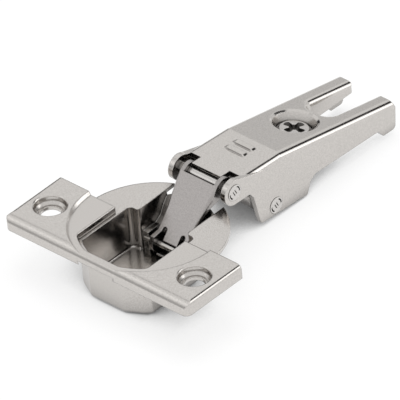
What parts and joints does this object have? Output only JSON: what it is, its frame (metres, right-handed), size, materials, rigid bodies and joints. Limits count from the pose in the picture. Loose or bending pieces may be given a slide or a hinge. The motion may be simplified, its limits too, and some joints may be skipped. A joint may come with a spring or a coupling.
{
  "type": "concealed cup hinge",
  "caption": "Concealed cabinet door hinge with a recessed cup, a folded wing plate, two links and a forked channel arm.",
  "frame": {"origin": "axis of the 35 mm cup bore on the face of the door", "axes": "+X along the wing plate, +Y from the cup towards the door edge and along the open arm, +Z out of the door face"},
  "size_m": [0.061, 0.099, 0.0197],
  "materials": {
    "cup_steel": "nickel plated, satin",
    "wing_steel": "nickel plated, satin",
    "arm_steel": "nickel plated, satin",
    "link_steel": "nickel plated, satin",
    "pin_steel": "bright",
    "spring_steel": "dark, hardened",
    "screw_steel": "nickel plated, bright"
  },
  "bodies": {
    "cup_unit": {"cup": "cup_steel", "wing_plate": "wing_steel", "cup_pin_outer": "pin_steel", "cup_pin_inner": "pin_steel", "closing_spring": "spring_steel"},
    "outer_link_body": {"outer_link": "link_steel"},
    "inner_link_body": {"inner_link": "link_steel"},
    "arm_unit": {"arm": "arm_steel", "front_rivet": "pin_steel", "rear_rivet": "pin_steel"},
    "screw_body": {"overlay_screw": "screw_steel"}
  },
  "joints": [
    {"name": "open_close", "type": "hinge", "parent": "cup_unit", "child": "outer_link_body", "pos_m": [0, 0.0065, -0.0083], "axis": [1, 0, 0], "range_deg": [0, 106]},
    {"name": "inner_link_swing", "type": "hinge", "parent": "cup_unit", "child": "inner_link_body", "pos_m": [0, 0.0101, -0.0072], "axis": [1, 0, 0], "range_deg": [0, 113]},
    {"name": "arm_turn", "type": "hinge", "parent": "outer_link_body", "child": "arm_unit", "pos_m": [0, 0.02117, 0.00418], "axis": [1, 0, 0], "range_deg": [-12, 0]},
    {"name": "overlay_adjust", "type": "hinge", "parent": "arm_unit", "child": "screw_body", "pos_m": [0, 0.0535, 0.00256], "axis": [0, 0.2, 0.9798], "range_deg": [-720, 720]}
  ],
  "couplings": [
    {"joint": "inner_link_swing", "follows": "open_close", "ratio": 1.059},
    {"joint": "arm_turn", "follows": "open_close", "ratio": -0.113}
  ]
}
